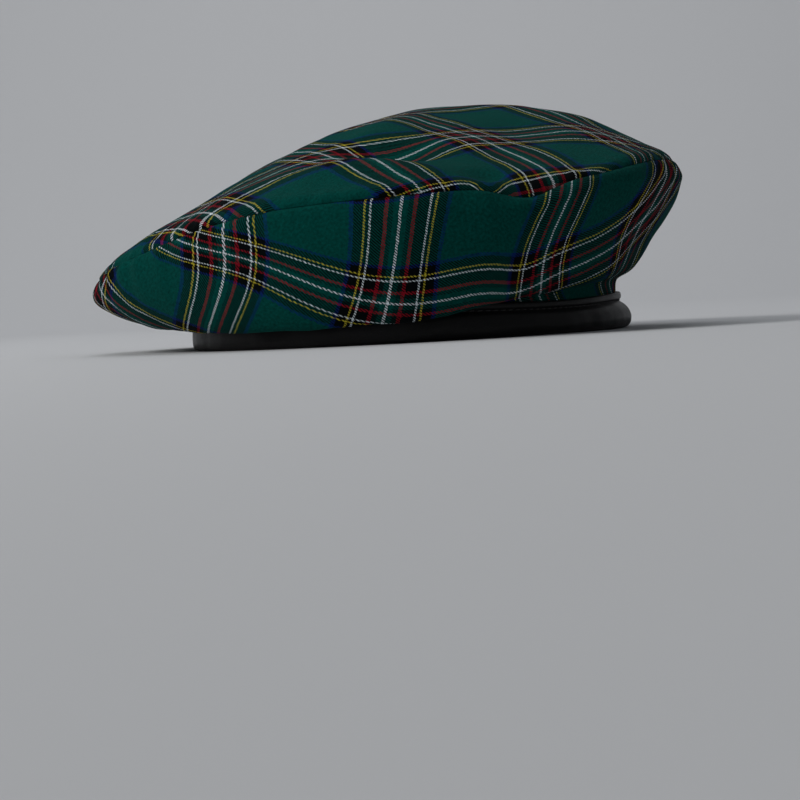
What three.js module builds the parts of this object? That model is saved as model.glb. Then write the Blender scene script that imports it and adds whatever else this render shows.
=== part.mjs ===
// A tam o shanter of tartan cloth with a leather binding, lying on its binding.
// A round top panel is sewn to a side ring, and the ring's inner edge sits in a folded leather strip.
// Millimetres and degrees. +Z is up, the forehead side faces -Y and the wearer's left is +X.

import * as THREE from 'three';

// Head opening, measured on the outside of the cloth where it enters the binding
const HEAD_LENGTH = 201;
const HEAD_WIDTH = 163;

// Crown
const CROWN_OVERHANG = 26;    // from the mean edge of the opening out to the outer seam
const CROWN_HEIGHT = 92;      // control height of the highest point above the resting plane
const APEX_SHIFT = 22;        // the highest point lies this far away from the leaning side
const LEAN_DIRECTION = 198;   // the crown leans to the wearer's right and a little forward

// Cloth
const CLOTH_THICKNESS = 1.2;
const SEAM_ALLOWANCE = 5;     // cloth turned in at the outer seam
const CLOTH_RISE = 6;         // the ring climbs this far out of the binding before it folds outward

// Leather binding
const BINDING_HEIGHT = 14.5;
const LEATHER_THICKNESS = 1.1;
const EDGE_LIFT = 7;          // raw edge of the cloth above the resting plane
const LIP_HEIGHT = 2.6;       // raised lip above the stitched groove
const LIP_SWELL = 0.5;
const STITCH_DEPTH = 0.3;

// Swelling of the binding's outer leaf below the groove: share of the groove's height, share of the bulge
const SWELL_TOP = { up: 0.8, bulge: 0.6 };
const SWELL_MIDDLE = { up: 0.45, bulge: 1 };
const SWELL_LOW = { up: 0.2, bulge: 0.9 };
const SWELL_FOOT = 0.5;       // share of the bulge at the folded bottom edge

// Fits
const CLEARANCE = 0.3;        // between the cloth and each leaf of leather
const SEAM_GAP = 0.3;         // between the top panel and the side ring along the outer seam

// Mesh density: steps round the hat, and the rings of the cloth's curve that carry vertices
const STEPS_ROUND = 60;
const BINDING_STEPS = 72;
const TOP_RINGS = [14, 13, 12, 11.5, 11, 10.5, 10, 9.5, 9, 8.5, 8, 7.5];
const SIDE_RINGS = [6.5, 6, 5.5, 5, 4.5, 4, 3.6, 3.2, 2.8, 2, 0];

// One row for each 30 degrees counterclockwise from the leaning direction.
// "out" columns are shares of the crown's overhang at that place, "up" columns shares of the crown
// height, and hang_up and bulge are shares of the binding's height.
const SECTION_COLUMNS = [
  'seam_out', 'seam_up', 'shoulder_out', 'shoulder_up', 'belly_out', 'belly_up',
  'hang_out', 'hang_up', 'steepness', 'roll', 'bulge',
];
const SECTION_TABLE = [
  [1.22, 0.275, 1.28, 0.215, 0.98, 0.165, 0.38, 0.70, 1.80, 0.05, 0.06],
  [1.22, 0.395, 1.25, 0.280, 1.02, 0.150, 0.40, 0.30, 1.60, 0.02, 0.06],
  [1.05, 0.545, 1.05, 0.390, 0.90, 0.180, 0.45, 0.00, 1.50, 0.00, 0.06],
  [0.90, 0.595, 0.90, 0.430, 0.70, 0.220, 0.45, 0.15, 1.20, 0.00, 0.06],
  [0.85, 0.620, 0.95, 0.500, 0.60, 0.270, 0.25, 1.00, 1.10, 0.00, 0.12],
  [0.75, 0.700, 0.88, 0.590, 0.45, 0.330, 0.22, 1.40, 1.40, 0.00, 0.26],
  [0.74, 0.705, 0.88, 0.620, 0.43, 0.350, 0.18, 1.50, 2.40, 0.00, 0.32],
  [0.80, 0.680, 0.88, 0.570, 0.45, 0.340, 0.22, 1.45, 2.80, 0.00, 0.20],
  [1.00, 0.620, 0.96, 0.480, 0.62, 0.280, 0.30, 1.20, 2.60, 0.00, 0.10],
  [1.15, 0.560, 1.10, 0.420, 0.78, 0.230, 0.35, 1.00, 2.50, 0.00, 0.06],
  [1.25, 0.470, 1.25, 0.330, 0.90, 0.180, 0.38, 0.80, 2.30, 0.00, 0.06],
  [1.25, 0.360, 1.28, 0.250, 0.96, 0.160, 0.38, 0.70, 2.10, 0.02, 0.06],
];

// Folds of the top panel: place and long direction as angles from the leaning direction, distances
// as shares of the crown's reach and depth as a share of the crown height. A ridge has a minus depth.
const FOLD_COLUMNS = ['angle', 'out', 'turn', 'length', 'width', 'depth'];
const FOLD_TABLE = [
  [80, 0.58, -20, 0.20, 0.10, 0.050],    // valley in front of the highest point
  [84, 0.80, -20, 0.22, 0.07, -0.035],   // ridge between the valley and the front seam
  [107, 0.90, 20, 0.07, 0.05, 0.030],    // pucker by the front seam
];

// Control rings of the top panel between the seam and the highest point, as shares of the way
const DOME_SHARES = [0.93, 0.82, 0.68, 0.52, 0.36, 0.2, 0.08, 0];

// Colours
const CLOTH_COLOUR = 0x0a3f38;
const LEATHER_COLOUR = 0x121213;

const crownReach = (HEAD_LENGTH + HEAD_WIDTH) / 4 + CROWN_OVERHANG;
const SEAM_RING = 7;          // number of the control ring that carries the outer seam
const lastRing = SEAM_RING + DOME_SHARES.length;

function direction(degrees) {
  const radians = THREE.MathUtils.degToRad(degrees + LEAN_DIRECTION);
  return new THREE.Vector2(Math.cos(radians), Math.sin(radians));
}

// Distance from the middle of the oval opening to the outside of the cloth
function openingRadius(degrees) {
  const { x, y } = direction(degrees);
  const halfLength = HEAD_LENGTH / 2;
  const halfWidth = HEAD_WIDTH / 2;
  return (halfLength * halfWidth) / Math.hypot(halfLength * x, halfWidth * y);
}

// A column of the section table at any angle, smooth all the way round
function sectionValue(name, degrees) {
  const column = SECTION_COLUMNS.indexOf(name);
  const count = SECTION_TABLE.length;
  const place = ((((degrees % 360) + 360) % 360) * count) / 360;
  const row = Math.floor(place);
  const t = place - row;
  const [a, b, c, d] = [-1, 0, 1, 2].map((k) => SECTION_TABLE[(row + k + count) % count][column]);
  const linear = c - a;
  const square = 2 * a - 5 * b + 4 * c - d;
  const cube = 3 * b - a - 3 * c + d;
  return 0.5 * (2 * b + linear * t + square * t * t + cube * t * t * t);
}

function apex() {
  const { x, y } = direction(180);
  return new THREE.Vector3(APEX_SHIFT * x, APEX_SHIFT * y, CROWN_HEIGHT);
}

// Control points of the cloth at one angle, from the raw edge in the binding to the highest point
function clothControls(degrees) {
  const { x, y } = direction(degrees);
  const opening = openingRadius(degrees);
  const overhang = crownReach - opening;
  const value = (name) => sectionValue(name, degrees);
  const at = (radius, height) => new THREE.Vector3(radius * x, radius * y, height);
  const seam = at(opening + overhang * value('seam_out'), CROWN_HEIGHT * value('seam_up'));
  const controls = [
    at(opening, EDGE_LIFT),
    at(opening, (EDGE_LIFT + BINDING_HEIGHT) / 2),
    at(opening, BINDING_HEIGHT),
    at(opening, BINDING_HEIGHT + CLOTH_RISE),
    at(opening + overhang * value('hang_out'), BINDING_HEIGHT * value('hang_up')),
    at(opening + overhang * value('belly_out'), CROWN_HEIGHT * value('belly_up')),
    at(opening + overhang * value('shoulder_out'), CROWN_HEIGHT * value('shoulder_up')),
    seam,
  ];
  const top = apex();
  DOME_SHARES.forEach((share, index) => {
    const point = top.clone().lerp(seam, share);
    point.z = CROWN_HEIGHT - (CROWN_HEIGHT - seam.z) * share ** value('steepness');
    if (index === 0) point.z += CROWN_HEIGHT * value('roll');
    controls.push(point);
  });
  return controls;
}

// Depth of all folds of the top panel at a place in plan
function foldDepth(point) {
  let sum = 0;
  for (const row of FOLD_TABLE) {
    const [angle, out, turn, length, width, depth] = FOLD_COLUMNS.map((name, column) => row[column]);
    const along = direction(turn);
    const offset = new THREE.Vector2(point.x, point.y).addScaledVector(direction(angle), -crownReach * out);
    const u = offset.dot(along) / (length * crownReach);
    const v = offset.cross(along) / (width * crownReach);
    sum += depth * CROWN_HEIGHT * Math.exp(-u * u - v * v);
  }
  return sum;
}

// Outside of the cloth: a cubic B-spline through the control rings, ring numbers as its parameter
function clothPoint(degrees, ring) {
  const controls = clothControls(degrees);
  const start = Math.min(Math.floor(ring), lastRing - 1);
  const t = ring - start;
  const weights = [
    (1 - t) ** 3,
    3 * t ** 3 - 6 * t ** 2 + 4,
    -3 * t ** 3 + 3 * t ** 2 + 3 * t + 1,
    t ** 3,
  ];
  const point = new THREE.Vector3();
  weights.forEach((weight, k) => {
    const index = THREE.MathUtils.clamp(start - 1 + k, 0, lastRing);
    point.addScaledVector(controls[index], weight / 6);
  });
  if (ring > SEAM_RING) point.z -= foldDepth(point) * Math.min(ring - SEAM_RING, 1);
  return point;
}

// Direction along the cloth from the binding towards the highest point
function alongCloth(degrees, ring) {
  const step = 0.02;
  const before = clothPoint(degrees, Math.max(ring - step, 0));
  return clothPoint(degrees, Math.min(ring + step, lastRing - step)).sub(before).normalize();
}

function outwardNormal(degrees, ring) {
  const step = 0.5;
  const round = clothPoint(degrees + step, ring).sub(clothPoint(degrees - step, ring));
  return round.cross(alongCloth(degrees, ring)).normalize();
}

function insidePoint(degrees, ring) {
  return clothPoint(degrees, ring).addScaledVector(outwardNormal(degrees, ring), -CLOTH_THICKNESS);
}

// Cloth edge at the outer seam with its turned-in allowance; side is 1 above the seam and -1 below
function seamEdge(degrees, side) {
  const normal = outwardNormal(degrees, SEAM_RING);
  const along = alongCloth(degrees, SEAM_RING).multiplyScalar(side);
  const outer = clothPoint(degrees, SEAM_RING).addScaledVector(along, SEAM_GAP / 2);
  const deepOuter = outer.clone().addScaledVector(normal, -SEAM_ALLOWANCE);
  const deepInner = deepOuter.clone().addScaledVector(along, CLOTH_THICKNESS);
  const corner = outer.clone().addScaledVector(normal, -CLOTH_THICKNESS).addScaledVector(along, CLOTH_THICKNESS);
  return [outer, deepOuter, deepInner, corner];
}

// A closed body from one section for each step round the hat.
// An open section starts and ends at two poles that all sections share.
function roundBody(steps, sectionAt, hasPoles) {
  const sections = [];
  for (let step = 0; step < steps; step += 1) sections.push(sectionAt((360 * step) / steps));
  const count = sections[0].length;
  const first = hasPoles ? 1 : 0;
  const last = hasPoles ? count - 1 : count;
  const width = last - first;
  const positions = [];
  for (const section of sections) {
    for (let k = first; k < last; k += 1) positions.push(...section[k].toArray());
  }
  const index = [];
  const vertex = (step, k) => (step % steps) * width + (k % width);
  const stretch = hasPoles ? width - 1 : width;
  for (let step = 0; step < steps; step += 1) {
    for (let k = 0; k < stretch; k += 1) {
      const [a, b] = [vertex(step, k), vertex(step, k + 1)];
      const [c, d] = [vertex(step + 1, k + 1), vertex(step + 1, k)];
      index.push(a, b, c, a, c, d);
    }
  }
  if (hasPoles) {
    const startPole = positions.length / 3;
    positions.push(...sections[0][0].toArray(), ...sections[0][count - 1].toArray());
    for (let step = 0; step < steps; step += 1) {
      index.push(startPole, vertex(step, 0), vertex(step + 1, 0));
      index.push(startPole + 1, vertex(step + 1, width - 1), vertex(step, width - 1));
    }
  }
  const geometry = new THREE.BufferGeometry();
  geometry.setAttribute('position', new THREE.Float32BufferAttribute(positions, 3));
  geometry.setIndex(index);
  geometry.computeVertexNormals();
  return geometry;
}

function clothMaterial() {
  return new THREE.MeshStandardMaterial({ color: CLOTH_COLOUR, roughness: 0.9, metalness: 0 });
}

// Round top panel, from the highest point out to the seam and back along its inside
function makeCrownTop() {
  const highest = clothPoint(0, lastRing);
  const insideHighest = highest.clone().setZ(highest.z - CLOTH_THICKNESS);
  const sectionAt = (degrees) => [
    highest,
    ...TOP_RINGS.map((ring) => clothPoint(degrees, ring)),
    ...seamEdge(degrees, 1),
    ...TOP_RINGS.map((ring) => insidePoint(degrees, ring)).reverse(),
    insideHighest,
  ];
  const mesh = new THREE.Mesh(roundBody(STEPS_ROUND, sectionAt, true), clothMaterial());
  mesh.name = 'crown_top';
  return mesh;
}

// Side ring, from the seam down and in to its raw edge inside the binding
function makeCrownSide() {
  const sectionAt = (degrees) => [
    ...seamEdge(degrees, -1).reverse(),
    ...SIDE_RINGS.map((ring) => clothPoint(degrees, ring)),
    ...SIDE_RINGS.map((ring) => insidePoint(degrees, ring)).reverse(),
  ];
  const mesh = new THREE.Mesh(roundBody(STEPS_ROUND, sectionAt, false), clothMaterial());
  mesh.name = 'crown_side';
  return mesh;
}

// Section of the folded leather strip: distances out from the cloth's outside, and heights.
// The swelling of its outer leaf grows with the bulge.
function bindingSection(bulge) {
  const leafOut = CLEARANCE + LEATHER_THICKNESS;
  const slotIn = -(CLOTH_THICKNESS + CLEARANCE);
  const leafIn = slotIn - LEATHER_THICKNESS;
  const groove = BINDING_HEIGHT - LIP_HEIGHT - LEATHER_THICKNESS;
  const lipRound = LEATHER_THICKNESS / 2;
  const outside = [
    [leafOut, BINDING_HEIGHT],
    [leafOut + LIP_SWELL, BINDING_HEIGHT - lipRound],
    [leafOut + LIP_SWELL, BINDING_HEIGHT - LIP_HEIGHT],
    [leafOut - STITCH_DEPTH, groove],
    [leafOut + SWELL_TOP.bulge * bulge, SWELL_TOP.up * groove],
    [leafOut + SWELL_MIDDLE.bulge * bulge, SWELL_MIDDLE.up * groove],
    [leafOut + SWELL_LOW.bulge * bulge, SWELL_LOW.up * groove],
    [leafOut + SWELL_FOOT * bulge - lipRound, 0],
  ];
  const inside = [
    [leafIn + lipRound, 0],
    [leafIn, lipRound],
    [leafIn, BINDING_HEIGHT - lipRound],
    [leafIn + lipRound, BINDING_HEIGHT],
    [slotIn, BINDING_HEIGHT],
    [slotIn, LEATHER_THICKNESS],
    [CLEARANCE + SWELL_FOOT * bulge, LEATHER_THICKNESS],
    [CLEARANCE + SWELL_MIDDLE.bulge * bulge, SWELL_MIDDLE.up * groove],
    [CLEARANCE + SWELL_TOP.bulge * bulge, SWELL_TOP.up * groove],
    [CLEARANCE, groove],
    [CLEARANCE, BINDING_HEIGHT],
  ];
  return [...outside, ...inside];
}

function makeHeadband() {
  const sectionAt = (degrees) => {
    const { x, y } = direction(degrees);
    const opening = openingRadius(degrees);
    const bulge = BINDING_HEIGHT * sectionValue('bulge', degrees);
    const place = ([out, up]) => new THREE.Vector3((opening + out) * x, (opening + out) * y, up);
    return bindingSection(bulge).map(place);
  };
  const material = new THREE.MeshStandardMaterial({ color: LEATHER_COLOUR, roughness: 0.45, metalness: 0 });
  const mesh = new THREE.Mesh(roundBody(BINDING_STEPS, sectionAt, false), material);
  mesh.name = 'headband';
  return mesh;
}

const hat = new THREE.Group();
hat.add(makeCrownTop(), makeCrownSide(), makeHeadband());

// The origin is the middle of the hat in plan, on the plane that it rests on
const box = new THREE.Box3().setFromObject(hat);
const middle = box.getCenter(new THREE.Vector3());
hat.position.set(-middle.x, -middle.y, -box.min.z);
hat.updateMatrixWorld(true);

export default hat;
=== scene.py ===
"""Looks of the tam o shanter: tartan crown, leather binding and studio.

Shapes are worked out in millimetres and degrees, and built in metres.
"""

import math

import bpy
import numpy as np
from mathutils import Matrix, Vector


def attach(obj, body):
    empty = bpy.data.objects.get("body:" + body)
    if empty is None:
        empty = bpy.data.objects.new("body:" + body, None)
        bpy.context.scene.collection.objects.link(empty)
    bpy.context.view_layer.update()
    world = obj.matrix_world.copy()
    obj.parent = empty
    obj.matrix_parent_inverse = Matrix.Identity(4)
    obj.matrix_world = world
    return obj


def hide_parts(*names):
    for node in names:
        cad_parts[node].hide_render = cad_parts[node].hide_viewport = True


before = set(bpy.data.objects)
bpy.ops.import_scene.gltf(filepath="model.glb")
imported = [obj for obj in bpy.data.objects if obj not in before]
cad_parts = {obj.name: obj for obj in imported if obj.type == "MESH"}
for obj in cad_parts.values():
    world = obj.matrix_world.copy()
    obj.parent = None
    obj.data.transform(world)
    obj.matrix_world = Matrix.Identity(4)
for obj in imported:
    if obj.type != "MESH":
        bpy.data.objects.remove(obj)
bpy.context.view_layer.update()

MM = 0.001

# Shape, with the same named sizes as the solids
HEAD_LENGTH = 201.0
HEAD_WIDTH = 163.0
CROWN_OVERHANG = 26.0
CROWN_HEIGHT = 92.0
APEX_SHIFT = 22.0
LEAN_DIRECTION = 198.0
CLOTH_THICKNESS = 1.2
SEAM_ALLOWANCE = 5.0
CLOTH_RISE = 6.0
BINDING_HEIGHT = 14.5
LEATHER_THICKNESS = 1.1
EDGE_LIFT = 7.0
LIP_HEIGHT = 2.6
LIP_SWELL = 0.5
STITCH_DEPTH = 0.3
CLEARANCE = 0.3
OPENING_CENTRE = np.array([8.0917, -0.4611, 0.0])   # in the row frame
SEAM_RING = 7
CROWN_REACH = (HEAD_LENGTH + HEAD_WIDTH) / 4 + CROWN_OVERHANG

SECTION_COLUMNS = ("seam_out", "seam_up", "shoulder_out", "shoulder_up", "belly_out", "belly_up",
                   "hang_out", "hang_up", "steepness", "roll", "bulge")
SECTION_TABLE = np.array([
    [1.22, 0.275, 1.28, 0.215, 0.98, 0.165, 0.38, 0.70, 1.80, 0.05, 0.06],
    [1.22, 0.395, 1.25, 0.280, 1.02, 0.150, 0.40, 0.30, 1.60, 0.02, 0.06],
    [1.05, 0.545, 1.05, 0.390, 0.90, 0.180, 0.45, 0.00, 1.50, 0.00, 0.06],
    [0.90, 0.595, 0.90, 0.430, 0.70, 0.220, 0.45, 0.15, 1.20, 0.00, 0.06],
    [0.85, 0.620, 0.95, 0.500, 0.60, 0.270, 0.25, 1.00, 1.10, 0.00, 0.12],
    [0.75, 0.700, 0.88, 0.590, 0.45, 0.330, 0.22, 1.40, 1.40, 0.00, 0.26],
    [0.74, 0.705, 0.88, 0.620, 0.43, 0.350, 0.18, 1.50, 2.40, 0.00, 0.32],
    [0.80, 0.680, 0.88, 0.570, 0.45, 0.340, 0.22, 1.45, 2.80, 0.00, 0.20],
    [1.00, 0.620, 0.96, 0.480, 0.62, 0.280, 0.30, 1.20, 2.60, 0.00, 0.10],
    [1.15, 0.560, 1.10, 0.420, 0.78, 0.230, 0.35, 1.00, 2.50, 0.00, 0.06],
    [1.25, 0.470, 1.25, 0.330, 0.90, 0.180, 0.38, 0.80, 2.30, 0.00, 0.06],
    [1.25, 0.360, 1.28, 0.250, 0.96, 0.160, 0.38, 0.70, 2.10, 0.02, 0.06],
])
# Folds of the top panel: angle, share of the way out, turn, then length, width and depth as shares
# of the crown's reach and height
FOLD_TABLE = [
    (86, 0.57, -20, 0.18, 0.085, 0.070),
    (84, 0.80, -20, 0.22, 0.07, -0.035),
    (107, 0.90, 20, 0.07, 0.05, 0.030),
]
DOME_SHARES = (0.93, 0.82, 0.68, 0.52, 0.36, 0.2, 0.08, 0.0)
LAST_RING = SEAM_RING + len(DOME_SHARES)

REPEAT = 65.5          # mm from one of the tartan's bands to the next

GREEN = (0.0005, 0.064, 0.053)
DARK_GREEN = (0.0008, 0.019, 0.017)
BLACK = (0.002, 0.0035, 0.004)
WHITE = (0.72, 0.80, 0.85)
YELLOW = (0.50, 0.42, 0.035)
RED = (0.26, 0.007, 0.017)
BLUE = (0.004, 0.022, 0.13)

# Half of the tartan's sett from the middle of its band: width in mm, colour. Green fills the rest.
SETT = [
    (0.5, WHITE), (2.05, GREEN), (1.75, DARK_GREEN), (1.45, RED), (4.35, BLACK), (0.65, WHITE),
    (1.35, BLACK), (0.7, YELLOW), (3.45, BLACK), (1.6, BLUE),
]
YELLOW_STRIPE = 7        # its place in the sett
YELLOW_SHARE = (sum(width for width, _ in SETT[:YELLOW_STRIPE]) + SETT[YELLOW_STRIPE][0] / 2) / REPEAT

# Where the tartan's lines run in the photo, read one by one: band, line, then places as (column, row).
# Line 0 is the white middle of the band, -1 and 1 are the yellow lines before and after it.
SIDE_ACROSS = [
    (-1, -1, [(192, 240), (196, 259), (195, 286), (185, 317)]),
    (-1, 0, [(221, 231), (223, 256), (227, 273), (225, 286), (212, 309)]),
    (-1, 1, [(252, 221), (257, 266), (239, 317)]),
    (0, 0, [(402, 199), (399, 223), (392, 275), (383, 321)]),
    (0, 1, [(437, 198), (427, 275), (418, 318)]),
    (1, -1, [(543, 204), (531, 235), (520, 264), (517, 290)]),
    (1, 0, [(569, 198), (550, 239), (543, 271), (541, 296)]),
    (1, 1, [(591, 191), (572, 235), (563, 280)]),
    (2, -1, [(654, 177), (651, 192), (628, 213), (621, 249), (602, 297)]),
    (2, 0, [(664, 176), (656, 198), (638, 218), (628, 251), (612, 290)]),
]
SIDE_ALONG = [
    (-1, 0, [(104, 294), (118, 309), (128, 316)]),
    (-1, 1, [(113, 280), (128, 301), (161, 321)]),
    (0, -1, [(166, 255), (196, 257), (236, 273), (290, 303), (347, 322), (583, 280), (616, 262), (638, 239)]),
    (0, 0, [(179, 242), (223, 256), (268, 264), (290, 274), (390, 302), (480, 295), (539, 282), (597, 258),
            (621, 240)]),
    (0, 1, [(174, 231), (217, 237), (279, 251), (357, 275), (427, 276), (520, 263), (569, 251), (609, 227)]),
]
TOP_ACROSS = [
    (-1, 1, [(240, 200), (264, 212)]),
    (0, -1, [(281, 160), (337, 164), (365, 183), (393, 194)]),
    (0, 0, [(318, 154), (389, 171), (412, 183)]),
    (0, 1, [(318, 142), (356, 152), (420, 165), (440, 179)]),
    (1, -1, [(399, 121), (466, 147), (519, 178)]),
    (1, 0, [(480, 139), (524, 158), (550, 173)]),
    (1, 1, [(426, 114), (510, 143), (574, 169)]),
    (2, -1, [(521, 110), (561, 126), (619, 145), (638, 161)]),
    (2, 1, [(631, 145), (649, 159)]),
]
TOP_ALONG = [
    (0, 1, [(413, 189), (440, 183), (524, 180), (562, 169), (604, 168)]),
    (1, -1, [(241, 199), (289, 178), (322, 163), (402, 162), (440, 153), (524, 145), (586, 138), (640, 150)]),
    (1, 0, [(227, 196), (262, 173), (365, 153), (405, 155), (440, 141), (495, 138), (568, 132)]),
    (1, 1, [(300, 160), (341, 149), (397, 147), (429, 133), (509, 128), (562, 128)]),
]
HIDDEN_PLACE = (490, 187)    # a pucker by the seam hides part of a band here in the photo
HIDDEN_SIZE = np.array([5.0, 8.0])      # mm
HIDDEN_SHIFT = 0.13          # repeats
READING_ERROR = 1.2          # pixels
CLOTH_ERROR = 1.1            # mm
# How the cloth's grid strays from a regular one: share of a repeat, over this many mm
STRAY_TABLE = [(0.28, 58.0), (0.05, 26.0)]

RING_RADIUS = 210.0   # the side ring is cut as part of a wide ring of this radius

# The seam is drawn down at one place: angle, then spread in degrees, depth in mm, reach in rings
DIP_ANGLE = 113.0
DIP_SPREAD = 6.8
DIP_DEPTH = 4.6
DIP_RINGS = 0.6
# The binding's upper edge sags here: angle, spread in degrees, depth in mm
SAG_ANGLE = 128.0
SAG_SPREAD = 34.0
SAG_DEPTH = 2.2
SAG_FADE = 0.9        # binding heights above the binding over which the sag fades

# Rounding of the crown's highest part
CREST_SPREAD = 9.0      # mm over which the crown's highest part is evened out
CREST_REACH = 30.0      # mm from the highest point over which that fades
CREST_ROWS = 140
CREST_COLUMNS = 720
CREST_CENTRE_SHARE = 0.1
CREST_RINGS = ((0.7, 0.35), (1.4, 0.35), (2.1, 0.2))   # distance in spreads, share of the mean
CREST_SPOKES = 8
CREST_START = 0.3       # mm of spread where the evening begins, and the range over which it comes in
CREST_RAMP = 0.6
CELL_MARGIN = 0.001     # keeps a place just inside the last cell

NEARLY_ZERO = 1e-9      # keeps divisions safe

# Placing the tartan
OUTSIDE_COST = 100.0    # a pixel outside of a triangle counts for more than any distance
FIT_ROUNDS = 3

# Waves that the soft noise is made of
NOISE_WAVES = 10
NOISE_CELLS = (0.7, 1.6)    # shortest and longest wave, in cells
NOISE_LEVEL = 4.0           # what their sum is divided by

# Seam and surface detail of the cloth, in mm and degrees
ANGLES = 360
JOIN_ANGLE = -90.0        # the side ring's own join is at the back
CREASE_DEPTH = 0.5        # the cloth turns in at the outer seam
CREASE_WIDTH = 1.0
RIDGE_HEIGHT = 0.3        # the pressed allowance lifts the cloth beside the seam
RIDGE_PLACE = 3.6
RIDGE_WIDTH = 2.4
PUCKER_HEIGHT = 0.35
PUCKER_REACH = 9.0
PUCKER_START = 1.5
PUCKER_COUNT = 61         # puckers round the seam
FINE_PUCKER_COUNT = 97
FINE_PUCKER_SHARE = 0.5
PUCKER_SHIFTS = ((2.2, 3, 1), (1.4, 7, 2))   # radians of shift, waves round the seam, times the seed
PUCKER_MEAN, PUCKER_SWING, PUCKER_SWINGS = 0.6, 0.4, 5
DRAWN_ANGLE = 38.0        # where the seam is gathered most
DRAWN_SPREAD = 24.0
DRAWN_MORE = 1.2
SMOOTH_ANGLE = 175.0      # where the seam lies smoothest, on the raised side
SMOOTH_SPREAD = 26.0
SMOOTH_SHARE = 0.85
WAVE_HEIGHT = 0.6
WAVE_CELL = 36.0
WAVE_START = 6.0
FINE_WAVE_HEIGHT = 0.12
FINE_WAVE_CELL = 13.0
FINE_WAVE_SEED = 10       # added to the panel's own seed
SEAM_GAP = 0.3
TOP_SEED = 1
SIDE_SEED = 5

# The sharp fold below the seam, on the raised side
KINK_START, KINK_FADE_IN = 75.0, 25.0
KINK_END, KINK_FADE_OUT = 235.0, 30.0
KINK_PLACE = 6.0
KINK_SWING = 1.2
KINK_SWINGS = 5
KINK_WIDTH = 2.6
KINK_HEIGHT = 0.6
KINK_SHARPNESS = 1.5

# Thickness of the cloth and its hold in the binding
BEND_SHARE = 0.7      # the cloth is at most this share of its bend's radius
BEND_PASSES = 3       # times that the thickness is evened out
HELD_RING = 2.8       # rings below this stand in the binding
HELD_FADE = 1.2       # rings over which the cloth comes loose
INNER_START = 1.5     # thicknesses from the seam where the inner side begins
TOP_GRAIN = 35.0      # degrees that the top's threads are turned from the photo's right
SHORTEST_STEP = 1e-6  # mm, keeps divisions safe
LEAST_BEND = 1e-6     # per mm, likewise

# Rows of each panel: from ring, to ring, how many
TOP_ROWS = ((14.9, 8.0, 80), (7.93, 7.25, 18), (7.22, 7.0, 9))
SIDE_ROWS = ((7.0, 6.85, 7), (6.82, 6.45, 10), (6.4, 1.9, 64), (1.0, 0.0, 2))

# Binding
CORNER_SHARE = 0.22      # share of each side that a corner cut takes away
BINDING_ANGLES = 480
LIP_MIDDLE = 0.6          # how far down the lip is fullest, as a share of its height
LIP_FULLER = 0.1          # mm more there than above and below
GROOVE_HEIGHT = 0.5
SLOT_FLOOR = 0.3          # mm that the slot's inner corner lies above the fold
# The outer and inner side of the outer leaf: share of the bulge, share of the height up to the groove
OUTER_SIDE = ((0.4, 0.88), (0.78, 0.7), (1.0, 0.45), (0.9, 0.2))
INNER_SIDE = ((1.0, 0.45), (0.6, 0.8))
# The fold's lower outer edge: share of the bulge, share of the fold's radius inwards, share of the height
FOLD_EDGE = (0.68, 0.2, 0.06)
FOOT_BULGE = 0.5         # share of the bulge at the strip's foot
BAND_CORNER_CUTS = 2
WRINKLE_HEIGHT = 1.6
WRINKLES = ((16.0, 0.14, 1.0, 21), (6.0, 0.05, 0.4, 22))   # cell in mm, share, factor on heights, seed
WRINKLE_START = 2.0      # mm above the floor where the wrinkles reach their full height

# Stitches in the groove under the lip
STITCH_PITCH = 3.3
STITCH_LENGTH = 2.3
STITCH_WIDTH = 0.55
STITCH_SIDES = 6
STITCH_STEPS = 5
STITCH_RISE = 0.35       # mm above the foot of the groove
STITCH_STANDS_OUT = 0.1
STITCH_LINE_STEPS = 3600
STITCH_UNEVEN = 0.04     # share of the pitch
STITCH_AHEAD = 0.5       # mm to the point that gives a stitch's direction
STITCH_DIVE = 0.12       # mm that a stitch's ends go in, and that it climbs to either side
STITCH_CLIMB = 0.1
STITCH_BLUNT = 0.02
STITCH_SEED = 7

# The Mix node's colour sockets
COLOUR_A, COLOUR_B, COLOUR_RESULT = 6, 7, 2

# Wool cloth
THREAD = 0.275          # mm from one thread to the next
LINE_WOBBLE = 0.010     # repeats over which a line wanders
WOBBLE_SCALE, WOBBLE_DETAIL = 30.0, 3.0
THREAD_PAINTED_SHADE = 0.5       # painted shade: brightness where a thread dives, and how much its middle gains in painted light
THREAD_PAINTED_LIGHT = 0.65
FADE_LOW, FADE_MORE = 0.86, 0.28     # uneven dyeing over the whole hat
SLUB_LOW, SLUB_MORE = 0.4, 1.2       # uneven threads
THREAD_BUMP, FUZZ_BUMP = 0.7, 0.5
# A noise is scale, detail and, unless it is 0.5, roughness. A bump is strength and height in metres.
FADE_NOISE = (22.0, 4.0, 0.6)
SLUB_NOISE = (0.9, 1.0, 0.5)
FUZZ_NOISE = (1400.0, 2.0, 0.6)
WOOL_BUMP = (0.55, 0.00022)
WOOL_SURFACE = {
    "Roughness": 0.88,
    "Specular IOR Level": 0.02,
    "Sheen Weight": 0.018,
    "Sheen Roughness": 0.45,
    "Sheen Tint": (0.75, 0.9, 0.95, 1),
}

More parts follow.
